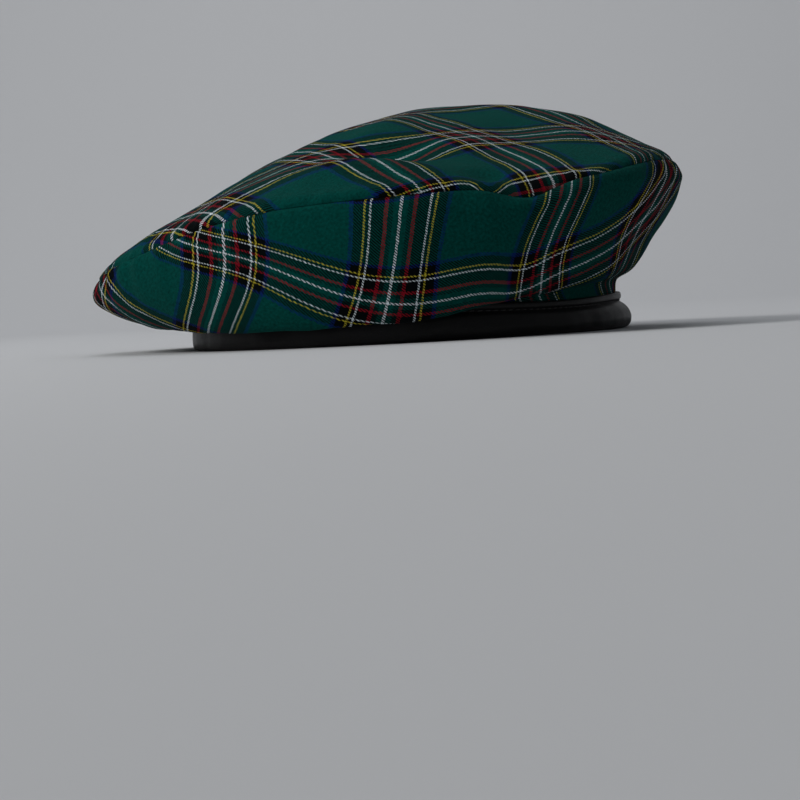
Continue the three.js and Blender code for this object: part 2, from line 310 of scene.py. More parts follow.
# Leather
LEATHER_CELLS = 1500.0          # cells per metre
PIT_EDGE = 5.0                  # how steeply the pits between the cells end
FINE_NOISE = (2600.0, 3.0, 0.6)
CREASE_NOISE = (130.0, 4.0, 0.65)
WORN_NOISE = (45.0, 4.0, 0.6)
ROUGH_NOISE = (90.0, 3.0)
PIT_BUMP, FINE_BUMP, CREASE_BUMP = 0.5, 0.35, 1.4
LEATHER_BUMP = (0.35, 0.00025)
LEATHER_DARK = (0.001, 0.001, 0.0012)
LEATHER_LIGHT = (0.004, 0.004, 0.0045)
ROUGH_LOW, ROUGH_MORE = 0.34, 0.22
LEATHER_SURFACE = {"Specular IOR Level": 0.13, "Coat Weight": 0.14, "Coat Roughness": 0.22}

# Thread of the stitches
STRAND_NOISE = (3500.0, 2.0)
THREAD_BLACK = (0.006, 0.006, 0.006)
THREAD_GREY = (0.03, 0.03, 0.031)
STRAND_BUMP = (0.5, 0.0001)
STRAND_ROUGHNESS = 0.6

# Floor and wall, in metres from the hat's middle
FLOOR_NEAR = -4.0
SWEEP_START = 1.2
SWEEP_RADIUS = 1.2
SWEEP_STEPS = 24
WALL_TOP = 6.0
HALF_WIDTH = 5.0
FLOOR_DROP = 0.0002     # keeps the floor just clear of the binding
FLOOR_COLOUR = (0.62, 0.63, 0.65)
FLOOR_ROUGHNESS = 0.9

# Lights and world
HAT_MIDDLE_HEIGHT = 0.045
# Name, place and target in metres to the right, away and up from the hat's middle, then width, watts, colour
LIGHTS = (
    ("key", (-1.45, -0.75, 1.15), (0, 0, 0), 0.9, 19.0, (1.0, 0.99, 0.97)),
    ("top", (-0.3, 0.3, 1.7), (0, 0, 0), 1.6, 7.0, (0.96, 0.98, 1.0)),
    ("backdrop", (0, 1.0, 1.9), (0, 3.0, 0.5), 1.2, 10.0, (1, 1, 1)),
)
WORLD_COLOUR = (0.93, 0.96, 1.0, 1)
WORLD_STRENGTH = 0.15

# Camera at the photo's viewing angle
CAMERA_AZIMUTH = math.radians(18.0)
PITCH = math.radians(2.32)
ROLL = math.radians(3.0)
LENS = 112.5
SENSOR_WIDTH = 36.0
CLIP_START, CLIP_END = 0.05, 50      # metres
PHOTO_SIZE = 800
FOCAL_PIXELS = LENS / SENSOR_WIDTH * PHOTO_SIZE
# The camera's place in metres from the opening's middle
CAMERA_DISTANCE = 1.0
CAMERA_SHIFT = -0.0055
CAMERA_RISE = 0.016

right = Vector((math.cos(CAMERA_AZIMUTH), math.sin(CAMERA_AZIMUTH), 0))
away = Vector((-right.y, right.x, 0))
centre = Vector(OPENING_CENTRE * MM)
look = away * math.cos(PITCH) - Vector((0, 0, math.sin(PITCH)))
up = right.cross(look)
turned_right = right * math.cos(ROLL) - up * math.sin(ROLL)
turned_up = up * math.cos(ROLL) + right * math.sin(ROLL)
camera_place = centre + right * CAMERA_SHIFT - away * CAMERA_DISTANCE + Vector((0, 0, CAMERA_RISE))


def bell(offset, spread):
    return np.exp(-(offset / spread)**2)


def direction(degrees):
    a = np.radians(np.asarray(degrees, float) + LEAN_DIRECTION)
    return np.stack([np.cos(a), np.sin(a)], -1)


APEX = APEX_SHIFT * direction(180.0)


def opening_radius(degrees):
    d = direction(degrees)
    half_length, half_width = HEAD_LENGTH / 2, HEAD_WIDTH / 2
    return half_length * half_width / np.hypot(half_length * d[..., 0], half_width * d[..., 1])


def section_value(name, degrees):
    v = SECTION_TABLE[:, SECTION_COLUMNS.index(name)]
    n = len(v)
    place = np.mod(degrees, 360) * n / 360
    row = np.floor(place).astype(int)
    t = place - row
    a, b, c, d = (v[(row + k) % n] for k in (-1, 0, 1, 2))
    return 0.5 * (2 * b + (c - a) * t + (2 * a - 5 * b + 4 * c - d) * t**2 + (3 * b - a - 3 * c + d) * t**3)


def cloth_controls(degrees):
    d = direction(degrees)
    opening = opening_radius(degrees)
    overhang = CROWN_REACH - opening
    value = {name: section_value(name, degrees) for name in SECTION_COLUMNS}

    def at(radius, height):
        return np.concatenate([d * np.expand_dims(radius, -1), np.expand_dims(height + 0 * opening, -1)], -1)

    seam = at(opening + overhang * value["seam_out"], CROWN_HEIGHT * value["seam_up"])
    rings = [
        at(opening, EDGE_LIFT),
        at(opening, (EDGE_LIFT + BINDING_HEIGHT) / 2),
        at(opening, BINDING_HEIGHT),
        at(opening, BINDING_HEIGHT + CLOTH_RISE),
        at(opening + overhang * value["hang_out"], BINDING_HEIGHT * value["hang_up"]),
        at(opening + overhang * value["belly_out"], CROWN_HEIGHT * value["belly_up"]),
        at(opening + overhang * value["shoulder_out"], CROWN_HEIGHT * value["shoulder_up"]),
        seam,
    ]
    for index, share in enumerate(DOME_SHARES):
        plan = APEX + (seam[..., :2] - APEX) * share
        z = CROWN_HEIGHT - (CROWN_HEIGHT - seam[..., 2]) * share ** value["steepness"]
        if index == 0:
            z = z + CROWN_HEIGHT * value["roll"]
        rings.append(np.concatenate([plan, z[..., None]], -1))
    return np.array(rings)


def sag(points, angles):
    """Lowers the top of the binding a little where it sags, at the right of the front."""
    rise = points[..., 2] / BINDING_HEIGHT
    share = np.clip(rise, 0, 1) * bell(np.maximum(rise - 1, 0), SAG_FADE)
    around = bell(np.mod(angles, 360) - SAG_ANGLE, SAG_SPREAD)
    out = points.copy()
    out[..., 2] -= SAG_DEPTH * share * around
    return out


def spline_weights(rings):
    rings = np.asarray(rings, float)
    weights = np.zeros((len(rings), LAST_RING + 1))
    start = np.minimum(np.floor(rings).astype(int), LAST_RING - 1)
    t = rings - start
    four = ((1 - t)**3, 3 * t**3 - 6 * t**2 + 4, -3 * t**3 + 3 * t**2 + 3 * t + 1, t**3)
    for k, w in enumerate(four):
        np.add.at(weights, (np.arange(len(rings)), np.clip(start - 1 + k, 0, LAST_RING)), w / 6)
    return weights


def fold_depth(plan):
    total = np.zeros(plan.shape[:-1])
    for angle, out, turn, length, width, depth in FOLD_TABLE:
        along = direction(turn)
        offset = plan - CROWN_REACH * out * direction(angle)
        u = offset @ along / (length * CROWN_REACH)
        v = (offset[..., 0] * along[1] - offset[..., 1] * along[0]) / (width * CROWN_REACH)
        total += depth * CROWN_HEIGHT * np.exp(-u * u - v * v)
    return total


def cloth_surface(rings, degrees):
    """Outside of the cloth, an array of rings by angles by 3."""
    points = np.einsum("mk,knc->mnc", spline_weights(rings), cloth_controls(np.asarray(degrees, float)))
    ramp = np.clip(np.asarray(rings, float) - SEAM_RING, 0, 1)
    points[..., 2] -= fold_depth(points[..., :2]) * ramp[:, None]
    dip = bell(np.mod(degrees, 360) - DIP_ANGLE, DIP_SPREAD)
    from_seam = np.asarray(rings, float)[:, None] - SEAM_RING
    points[..., 2] -= DIP_DEPTH * dip * bell(from_seam, DIP_RINGS)
    return sag(points, degrees)


def plan_share(rings):
    """Share of the way from the highest point to the seam, the same at every angle above the seam."""
    shares = np.concatenate([np.ones(SEAM_RING + 1), DOME_SHARES])
    return spline_weights(rings) @ shares


def soften_crest(points):
    """Rounds the crown's highest part, where the rings meet in a point."""
    rings = np.linspace(SEAM_RING + 1.0, LAST_RING, CREST_ROWS + 1)
    step = 360 / CREST_COLUMNS
    angles = np.arange(CREST_COLUMNS + 1) * step
    grid = cloth_surface(rings, angles)[..., 2]
    seam = cloth_controls(angles)[SEAM_RING][:, :2] - APEX
    bearing = np.unwrap(np.arctan2(seam[:, 1], seam[:, 0]))
    shares = plan_share(rings)[::-1]

    def height(plan):
        offset = plan - APEX
        turn = np.mod(np.arctan2(offset[..., 1], offset[..., 0]) - bearing[0], 2 * np.pi)
        angle = np.interp(turn, bearing - bearing[0], angles)
        far = np.interp(angle, angles, np.hypot(seam[:, 0], seam[:, 1]))
        ring = np.interp(np.hypot(offset[..., 0], offset[..., 1]) / far, shares, rings[::-1])
        row = np.clip((ring - rings[0]) / (rings[-1] - rings[0]) * CREST_ROWS, 0, CREST_ROWS - CELL_MARGIN)
        col = np.clip(angle / step, 0, CREST_COLUMNS - CELL_MARGIN)
        i, j = row.astype(int), col.astype(int)
        f, g = row - i, col - j
        upper = (1 - g) * grid[i, j] + g * grid[i, j + 1]
        lower = (1 - g) * grid[i + 1, j] + g * grid[i + 1, j + 1]
        return (1 - f) * upper + f * lower

    offset = points[..., :2] - APEX
    sigma = CREST_SPREAD * bell(np.hypot(offset[..., 0], offset[..., 1]), CREST_REACH)
    total = height(points[..., :2]) * CREST_CENTRE_SHARE
    for radius, share in CREST_RINGS:
        for spoke in range(CREST_SPOKES):
            a = 2 * np.pi * (spoke + radius) / CREST_SPOKES
            shift = np.array([np.cos(a), np.sin(a)]) * radius
            total = total + height(points[..., :2] + sigma[..., None] * shift) * share / CREST_SPOKES
    near = np.clip((sigma - CREST_START) / CREST_RAMP, 0, 1)
    out = points.copy()
    out[..., 2] = points[..., 2] * (1 - near) + total * near
    return out


def normals_of(points):
    """Outward normals of a sheet given as rings by angles, wrapped round the angles."""
    along = np.gradient(points, axis=0)
    around = (np.roll(points, -1, 1) - np.roll(points, 1, 1)) / 2
    n = np.cross(along, around)
    return n / np.maximum(np.linalg.norm(n, axis=-1, keepdims=True), NEARLY_ZERO)


def arc_length(points):
    step = np.linalg.norm(np.diff(points, axis=0), axis=2)
    return np.concatenate([np.zeros((1, points.shape[1])), np.cumsum(step, 0)])


def photo_view(points):
    """Column, row and distance in the photo of points in mm."""
    offset = (points + OPENING_CENTRE) * MM - np.array(camera_place)
    depth = offset @ np.array(look)
    column = PHOTO_SIZE / 2 + FOCAL_PIXELS * (offset @ np.array(turned_right)) / depth
    row = PHOTO_SIZE / 2 - FOCAL_PIXELS * (offset @ np.array(turned_up)) / depth
    return np.stack([column, row, depth], -1)


def find_on_cloth(points, flat, places):
    """Flat positions of places in the photo, and how flat positions change with column and row there."""
    view = photo_view(with_last(points))
    facing = (normals_of(points) @ np.array(look) < 0)[:-1]
    found, slopes = [], []
    corners = [(view[:-1, :-1], flat[:-1, :-1]), (view[1:, :-1], flat[1:, :-1]),
               (view[1:, 1:], flat[1:, 1:]), (view[:-1, 1:], flat[:-1, 1:])]
    triangles = [(corners[0], corners[1], corners[2]), (corners[0], corners[2], corners[3])]
    for place in places:
        best = None
        for (va, fa), (vb, fb), (vc, fc) in triangles:
            e, f, g = vb - va, vc - va, np.array(place) - va[..., :2]
            area = e[..., 0] * f[..., 1] - e[..., 1] * f[..., 0]
            area = np.where(np.abs(area) < NEARLY_ZERO, NEARLY_ZERO, area)
            s = (g[..., 0] * f[..., 1] - g[..., 1] * f[..., 0]) / area
            t = (e[..., 0] * g[..., 1] - e[..., 1] * g[..., 0]) / area
            # how far outside of the triangle the place is, then the nearest to the camera
            outside = np.maximum(np.maximum(-s, -t), s + t - 1).clip(0) * np.sqrt(np.abs(area))
            score = np.where(facing, outside * OUTSIDE_COST + va[..., 2], np.inf)
            k = np.unravel_index(score.argmin(), score.shape)
            if best is None or score[k] < best[0]:
                edges = np.stack([fb[k] - fa[k], fc[k] - fa[k]], -1)
                slope = edges @ np.linalg.inv(np.stack([e[k][:2], f[k][:2]], -1))
                best = (score[k], fa[k] + edges @ np.clip([s[k], t[k]], 0, 1), slope)
        found.append(best[1])
        slopes.append(best[2])
    return np.array(found), np.array(slopes)


def lay_tartan(points, flat, lines_across, lines_along):
    """The tartan's grid over a panel: a regular one turned to fit the lines read, then eased onto them."""
    axis, value, places = [], [], []
    for number, lines in enumerate((lines_across, lines_along)):
        for band, line, line_places in lines:
            axis += [number] * len(line_places)
            value += [band + line * YELLOW_SHARE] * len(line_places)
            places += line_places
    axis, value = np.array(axis), np.array(value)
    at, slopes = find_on_cloth(points, flat, places)
    first = axis == 0
    # across = (p x + q y) / REPEAT + shift, along = (p y - q x) / REPEAT + shift
    terms = np.stack([np.where(first, at[:, 0], at[:, 1]), np.where(first, at[:, 1], -at[:, 0]),
                      REPEAT * first, REPEAT * ~first], -1)
    weight = np.ones(len(value))
    for _ in range(FIT_ROUNDS):
        p, q = np.linalg.lstsq(terms * weight[:, None], value * REPEAT * weight, rcond=None)[0][:2]
        p, q = p / math.hypot(p, q), q / math.hypot(p, q)
        aim = np.where(first[:, None], (p, q), (-q, p))
        blur = np.linalg.norm(np.einsum("ni,nij->nj", aim, slopes), axis=1) * READING_ERROR
        blur = np.hypot(blur, CLOTH_ERROR) / REPEAT
        weight = 1 / blur / REPEAT
    regular = terms[:, :2] @ (p, q) / REPEAT
    ways = np.array([[p, q], [-q, p]])
    grid = flat @ ways.T / REPEAT

    def kernel(a, b):
        square = ((a[..., None, :] - b)**2).sum(-1)
        return sum(share**2 * np.exp(-square / (2 * reach**2)) for share, reach in STRAY_TABLE)

    for number in (0, 1):
        pick = axis == number
        rest = value[pick] - regular[pick]
        shift = np.average(rest, weights=weight[pick]**2)
        eased = np.linalg.solve(kernel(at[pick], at[pick]) + np.diag(blur[pick]**2), rest - shift)
        grid[..., number] += shift + kernel(flat, at[pick]) @ eased
    return grid


def smooth_noise(points, cell, seed):
    """Soft random values, mostly from -1 to 1, at points in mm: the sum of a few waves about a cell long."""
    rng = np.random.default_rng(seed)
    total = np.zeros(points.shape[:-1])
    for _ in range(NOISE_WAVES):
        d = rng.normal(size=3)
        d /= np.linalg.norm(d)
        wave = 2 * np.pi / (cell * rng.uniform(*NOISE_CELLS))
        total += np.sin(points @ d * wave + rng.uniform(0, 2 * np.pi))
    return total / NOISE_LEVEL


degrees = np.arange(ANGLES) * 360.0 / ANGLES + JOIN_ANGLE
closing = np.append(degrees, degrees[0] + 360.0)


def kink(from_seam):
    """Height of the sharp fold that runs along the ring below the seam."""
    fade_in = np.clip((degrees - KINK_START) / KINK_FADE_IN, 0, 1)
    around = fade_in * np.clip((KINK_END - degrees) / KINK_FADE_OUT, 0, 1)
    place = KINK_PLACE + KINK_SWING * np.sin(np.radians(degrees) * KINK_SWINGS)
    away_from_fold = (from_seam - place) / KINK_WIDTH
    return KINK_HEIGHT * np.exp(-np.abs(away_from_fold)**KINK_SHARPNESS) * around


def pucker_pattern(seed):
    """Height of the puckers round the seam, uneven in spacing and in strength."""
    a = np.radians(degrees)
    uneven = sum(size * np.sin(waves * a + times * seed) for size, waves, times in PUCKER_SHIFTS)
    strength = PUCKER_MEAN + PUCKER_SWING * np.sin(PUCKER_SWINGS * a + seed)
    coarse = np.sin(PUCKER_COUNT * a + uneven) * strength
    return coarse + FINE_PUCKER_SHARE * np.sin(FINE_PUCKER_COUNT * a - 2 * uneven)


def dress(points, from_seam, seed, free, kinked):
    """Adds the seam's crease and ridge, puckers and soft waves along the normal, for rows running downwards.

    free is 0 for rows held in the binding and 1 for loose cloth. kinked adds the sharp fold below the seam.
    """
    drawn = 1 + DRAWN_MORE * bell(degrees - DRAWN_ANGLE, DRAWN_SPREAD)
    pressed = 1 - SMOOTH_SHARE * bell(degrees - SMOOTH_ANGLE, SMOOTH_SPREAD)
    lift = -CREASE_DEPTH * pressed * bell(from_seam, CREASE_WIDTH)
    lift += RIDGE_HEIGHT * pressed * bell(from_seam - RIDGE_PLACE, RIDGE_WIDTH)
    fade = np.exp(-from_seam / PUCKER_REACH) * np.clip(from_seam / PUCKER_START, 0, 1)
    lift += PUCKER_HEIGHT * drawn * pucker_pattern(seed) * fade
    lift += WAVE_HEIGHT * smooth_noise(points, WAVE_CELL, seed) * np.clip(from_seam / WAVE_START, 0, 1)
    lift += FINE_WAVE_HEIGHT * smooth_noise(points, FINE_WAVE_CELL, seed + FINE_WAVE_SEED)
    if kinked:
        lift += kink(from_seam)
    return points + normals_of(points) * (lift * free[:, None])[..., None]


def add_object(name, data):
    obj = bpy.data.objects.new(name, data)
    bpy.context.scene.collection.objects.link(obj)
    return obj


def add_smooth_object(name, mesh):
    mesh.polygons.foreach_set("use_smooth", np.ones(len(mesh.polygons), bool))
    return add_object(name, mesh)


def pole_fans(index, uv_rows, poles, first_pole):
    """Triangles that join the first row to one pole and the last row to the other, and their uv."""
    triangles, triangle_uv = [], []
    count = index.shape[1]
    for k, row in enumerate((0, -1)):
        ring = [index[row], np.roll(index[row], -1)]
        ring_uv = [uv_rows[row, :-1], uv_rows[row, 1:]]
        if row == -1:
            ring.reverse()
            ring_uv.reverse()
        pole_uv = np.broadcast_to(poles[k][1], ring_uv[0].shape)
        triangles.append(np.stack([np.full(count, first_pole + k), *ring], 1))
        triangle_uv.append(np.stack([pole_uv, *ring_uv], 1))
    return np.concatenate(triangles), np.concatenate(triangle_uv)


def build_mesh(name, sheets, closed, uv_rows, poles=None):
    """A mesh from rows that run all the way round: sheets is rows by angles by 3 in mm.

    uv_rows is rows by (angles + 1) by 2, or by 4 for two layers. A closed body joins its last row
    to its first. Poles are a point and its uv beyond the first row and beyond the last.
    """
    rows, count = sheets.shape[:2]
    points = (sheets.reshape(-1, 3) + OPENING_CENTRE) * MM
    index = np.arange(rows * count).reshape(rows, count)
    ahead = np.roll(index, -1, 1)
    faces, corners = [], []
    for r in range(rows if closed else rows - 1):
        s = (r + 1) % rows
        faces.append(np.stack([index[r], index[s], ahead[s], ahead[r]], 1))
        corners.append(np.stack([uv_rows[r, :-1], uv_rows[s, :-1], uv_rows[s, 1:], uv_rows[r, 1:]], 1))
    faces = np.concatenate(faces)
    loops = faces.ravel()
    starts = np.arange(len(faces)) * 4
    totals = np.full(len(faces), 4)
    wide = uv_rows.shape[-1]
    uv = np.concatenate(corners).reshape(-1, wide)
    if poles is not None:
        triangles, triangle_uv = pole_fans(index, uv_rows, poles, len(points))
        points = np.concatenate([points, (np.array([p for p, _ in poles]) + OPENING_CENTRE) * MM])
        starts = np.concatenate([starts, len(loops) + np.arange(len(triangles)) * 3])
        totals = np.concatenate([totals, np.full(len(triangles), 3)])
        loops = np.concatenate([loops, triangles.ravel()])
        uv = np.concatenate([uv, triangle_uv.reshape(-1, wide)])
    mesh = bpy.data.meshes.new(name)
    mesh.vertices.add(len(points))
    mesh.vertices.foreach_set("co", points.astype(np.float32).ravel())
    mesh.loops.add(len(loops))
    mesh.loops.foreach_set("vertex_index", loops.astype(np.int32))
    mesh.polygons.add(len(starts))
    mesh.polygons.foreach_set("loop_start", starts.astype(np.int32))
    mesh.polygons.foreach_set("loop_total", totals.astype(np.int32))
    for k, layer_name in enumerate(("pattern", "threads")[:uv.shape[1] // 2]):
        layer = mesh.uv_layers.new(name=layer_name)
        layer.data.foreach_set("uv", uv[:, 2 * k:2 * k + 2].astype(np.float32).ravel())
    mesh.update(calc_edges=True)
    mesh.validate()
    return add_smooth_object(name, mesh)


def with_last(values):
    return np.concatenate([values, values[:, :1]], 1)


def thickness_in_bends(points, normals):
    """The cloth's thickness, pressed thinner where it bends so tightly that its inside would cross itself."""
    ahead = np.roll(points, -1, 0) - points
    behind = points - np.roll(points, 1, 0)
    far, near = (np.maximum(np.linalg.norm(v, axis=-1), SHORTEST_STEP) for v in (ahead, behind))
    turning = 2 * (ahead / far[..., None] - behind / near[..., None]) / (far + near)[..., None]
    bend = -(turning * normals).sum(-1)
    bend[0] = bend[-1] = 0
    limit = np.minimum(CLOTH_THICKNESS, BEND_SHARE / np.maximum(bend, LEAST_BEND))
    for _ in range(BEND_PASSES):
        limit = np.minimum(limit, (np.roll(limit, 1, 0) + limit + np.roll(limit, -1, 0)) / 3)
    return limit


def crown_panel(rows, seam_first, seed, lay_flat, lines_across, lines_along):
    """One cloth panel from rows that run downwards, turned in at its seam row.

    The side ring has its seam in the first row, the top panel in the last.
    """
    rings = np.concatenate([np.linspace(*row) for row in rows])
    points = cloth_surface(rings, degrees)
    if not seam_first:
        points = soften_crest(points)
    reach = arc_length(points)
    from_seam = reach if seam_first else reach[-1:] - reach
    flat = lay_flat(points)
    grid = lay_tartan(points, flat, lines_across, lines_along)
    if not seam_first:
        hidden = find_on_cloth(points, flat, [HIDDEN_PLACE])[0][0]
        hollow = np.exp(-(((flat - hidden) / HIDDEN_SIZE)**2).sum(-1))
        grid[..., 1] += HIDDEN_SHIFT * hollow
    turn = np.radians(0.0 if seam_first else TOP_GRAIN)
    across = np.array([math.cos(turn), math.sin(turn)])
    along_grain = np.array([-math.sin(turn), math.cos(turn)])
    uv = np.concatenate([grid, (flat @ across)[..., None], (flat @ along_grain)[..., None]], -1)
    free = np.clip((rings - HELD_RING) / HELD_FADE, 0, 1)
    dressed = dress(points, from_seam, seed, free * free * (3 - 2 * free), seam_first)
    n = normals_of(dressed)
    seam, beside = (0, 1) if seam_first else (-1, -2)
    along = points[beside] - points[seam]
    along /= np.linalg.norm(along, axis=-1, keepdims=True)
    seam_normal = normals_of(points)[seam]
    edge = dressed[seam] + along * SEAM_GAP / 2
    deep_outer = edge - seam_normal * (SEAM_ALLOWANCE - CREASE_DEPTH)
    deep_inner = deep_outer + along * CLOTH_THICKNESS
    outer = dressed.copy()
    outer[seam] = edge
    keep = from_seam.mean(1) > CLOTH_THICKNESS * INNER_START
    inner = (dressed - n * thickness_in_bends(dressed, n)[..., None])[keep][::-1]
    inner_uv = uv[keep][::-1]
    deep = [deep_outer[None], deep_inner[None]]
    deep_uv = [uv[seam][None], uv[seam][None]]
    if seam_first:
        sheets = np.concatenate([outer, inner, deep[1], deep[0]])
        uv_rows = np.concatenate([uv, inner_uv, deep_uv[1], deep_uv[0]])
    else:
        sheets = np.concatenate([outer, *deep, inner])
        uv_rows = np.concatenate([uv, *deep_uv, inner_uv])
    return sheets, uv_rows


def flat_top(points):
    """The top panel laid flat: distance from the highest point and angle stay."""
    first = np.linalg.norm(points[0] - points[0].mean(0), axis=-1)
    reach = with_last(arc_length(points) + first)
    a = np.radians(closing)
    return np.stack([-reach * np.cos(a), -reach * np.sin(a)], -1)


def flat_side(points):
    """The side ring laid flat, as part of a wide ring that opens at its join."""
    down = with_last(arc_length(points))
    psi = np.radians(closing - (JOIN_ANGLE + 180)) * CROWN_REACH / RING_RADIUS
    radius = RING_RADIUS - down
    return np.stack([radius * np.sin(psi), radius * np.cos(psi) - RING_RADIUS], -1)


def make_crown_top():
    sheets, uv = crown_panel(TOP_ROWS, False, TOP_SEED, flat_top, TOP_ACROSS, TOP_ALONG)
    pole_uv = uv[0, :-1].mean(0)
    poles = [(sheets[0].mean(0), pole_uv), (sheets[-1].mean(0), pole_uv)]
    return build_mesh("crown_top_cloth", sheets, False, uv, poles)


def make_crown_side():
    sheets, uv = crown_panel(SIDE_ROWS, True, SIDE_SEED, flat_side, SIDE_ACROSS, SIDE_ALONG)
    return build_mesh("crown_side_cloth", sheets, True, uv)


crown_top = make_crown_top()
crown_side = make_crown_side()


def corner_cut(section, times):
    """Rounds a closed polyline by cutting its corners; section is points by angles by 2."""
    for _ in range(times):
        ahead = np.roll(section, -1, 0)
        near, far = 1 - CORNER_SHARE, CORNER_SHARE
        both = np.stack([near * section + far * ahead, far * section + near * ahead], 1)
        section = both.reshape(-1, *section.shape[1:])
    return section


band_degrees = np.arange(BINDING_ANGLES) * 360.0 / BINDING_ANGLES


def binding_section(bulge):
    """Closed section of the folded strip, out from the cloth and up, at every angle."""
    leaf_out = CLEARANCE + LEATHER_THICKNESS
    slot_in = -(CLOTH_THICKNESS + CLEARANCE)
    leaf_in = slot_in - LEATHER_THICKNESS
    groove = BINDING_HEIGHT - LIP_HEIGHT - LEATHER_THICKNESS
    r = LEATHER_THICKNESS / 2
    edge_bulge, edge_in, edge_up = FOLD_EDGE
    rows = [
        (leaf_out, BINDING_HEIGHT),
        (leaf_out + LIP_SWELL, BINDING_HEIGHT - r),
        (leaf_out + LIP_SWELL + LIP_FULLER, BINDING_HEIGHT - LIP_HEIGHT * LIP_MIDDLE),
        (leaf_out + LIP_SWELL, BINDING_HEIGHT - LIP_HEIGHT),
        (leaf_out - STITCH_DEPTH, groove + GROOVE_HEIGHT),
        (leaf_out - STITCH_DEPTH, groove),
        *((leaf_out + share * bulge, up * groove) for share, up in OUTER_SIDE),
        (leaf_out + edge_bulge * bulge - edge_in * r, edge_up * groove),
        (leaf_out + FOOT_BULGE * bulge - r, 0.0),
        (leaf_in + r, 0.0),
        (leaf_in, r),
        (leaf_in, BINDING_HEIGHT / 2),
        (leaf_in, BINDING_HEIGHT - r),
        (leaf_in + r, BINDING_HEIGHT),
        (slot_in, BINDING_HEIGHT),
        (slot_in, LEATHER_THICKNESS + SLOT_FLOOR),
        (CLEARANCE + FOOT_BULGE * bulge, LEATHER_THICKNESS),
        *((CLEARANCE + share * bulge, up * groove) for share, up in INNER_SIDE),
        (CLEARANCE, groove),
        (CLEARANCE, BINDING_HEIGHT),
    ]
    zero = 0 * bulge
    return np.array([np.stack([out + zero, up + zero], -1) for out, up in rows])


def place_round(section, angles):
    opening = opening_radius(angles)
    d = direction(angles)
    out = section[..., 0] + opening
    return sag(np.concatenate([d * out[..., None], section[..., 1:]], -1), angles)


def make_headband():
    bulge = BINDING_HEIGHT * section_value("bulge", band_degrees)
    section = corner_cut(binding_section(bulge), BAND_CORNER_CUTS)
    band = place_round(section, band_degrees)
    wrinkle = sum(smooth_noise(band * [1, 1, factor], cell, seed) * share
                  for cell, share, factor, seed in WRINKLES)
    share_low = np.clip(1 - band[..., 2] / BINDING_HEIGHT, 0, 1) * np.clip(band[..., 2] / WRINKLE_START, 0, 1)
    outward = np.concatenate([direction(band_degrees), np.zeros((BINDING_ANGLES, 1))], -1)
    outer_side = np.clip((section[..., 0] - CLEARANCE) / LEATHER_THICKNESS, 0, 1)
    first_row = with_last(place_round(section[:1], band_degrees))[0]
    round_steps = np.linalg.norm(np.diff(first_row, axis=0), axis=1)
    section_steps = np.linalg.norm(np.diff(section[:, 0], axis=0), axis=1)
    band = band + outward[None] * (wrinkle * WRINKLE_HEIGHT * share_low * outer_side)[..., None]
    uv = np.zeros((len(section), BINDING_ANGLES + 1, 2))
    uv[..., 0] = np.concatenate([[0], np.cumsum(round_steps)])[None, :]
    uv[..., 1] = np.concatenate([[0], np.cumsum(section_steps)])[:, None]
    return build_mesh("headband_leather", band[::-1], True, uv[::-1] * MM)


headband = make_headband()


def stitch_places():
    """Middle and direction of each stitch round the groove."""
    groove = BINDING_HEIGHT - LIP_HEIGHT - LEATHER_THICKNESS + STITCH_RISE
    out_from_cloth = CLEARANCE + LEATHER_THICKNESS - STITCH_DEPTH + STITCH_STANDS_OUT
    fine = np.arange(STITCH_LINE_STEPS) * 360.0 / STITCH_LINE_STEPS
    route = np.stack([np.full(STITCH_LINE_STEPS, out_from_cloth), np.full(STITCH_LINE_STEPS, groove)], -1)
    line = place_round(route[None], fine)[0]
    length = np.concatenate([[0], np.cumsum(np.linalg.norm(np.diff(line, axis=0), axis=1))])
    count = int(length[-1] / STITCH_PITCH)
    rng = np.random.default_rng(STITCH_SEED)

    def place(s):
        return np.array([np.interp(s, length, line[:, axis]) for axis in range(3)])

    for k in range(count):
        s = (k + 0.5 + rng.uniform(-STITCH_UNEVEN, STITCH_UNEVEN)) * length[-1] / count
        at = place(s)
        ahead = place(s + STITCH_AHEAD) - at
        yield at, ahead / np.linalg.norm(ahead)


def make_stitches():
    """Separate stitches, each a short bowed thread with blunt ends."""
    points, faces = [], []
    upwards = np.array([0.0, 0.0, 1.0])
    for at, ahead in stitch_places():
        out = np.array([ahead[1], -ahead[0], 0.0])
        base = len(points)
        for i in range(STITCH_STEPS + 1):
            t = i / STITCH_STEPS * 2 - 1
            r = STITCH_WIDTH / 2 * math.sqrt(max(1 - t**4, STITCH_BLUNT))
            centre_line = (at + ahead * t * STITCH_LENGTH / 2 - out * STITCH_DIVE * t * t
                           + upwards * STITCH_CLIMB * t)
            for j in range(STITCH_SIDES):
                a = 2 * math.pi * j / STITCH_SIDES
                points.append(centre_line + out * r * math.cos(a) + upwards * r * math.sin(a))
        for i in range(STITCH_STEPS):
            for j in range(STITCH_SIDES):
                p, q = base + i * STITCH_SIDES, base + (i + 1) * STITCH_SIDES
                j2 = (j + 1) % STITCH_SIDES
                faces.append((p + j, q + j, q + j2, p + j2))
        last = base + STITCH_STEPS * STITCH_SIDES
        faces.append(tuple(base + j for j in range(STITCH_SIDES)))
        faces.append(tuple(last + j for j in reversed(range(STITCH_SIDES))))
    mesh = bpy.data.meshes.new("headband_stitches")
    mesh.from_pydata([tuple((p + OPENING_CENTRE) * MM) for p in points], [], faces)
    return add_smooth_object("headband_stitches", mesh)


stitches = make_stitches()


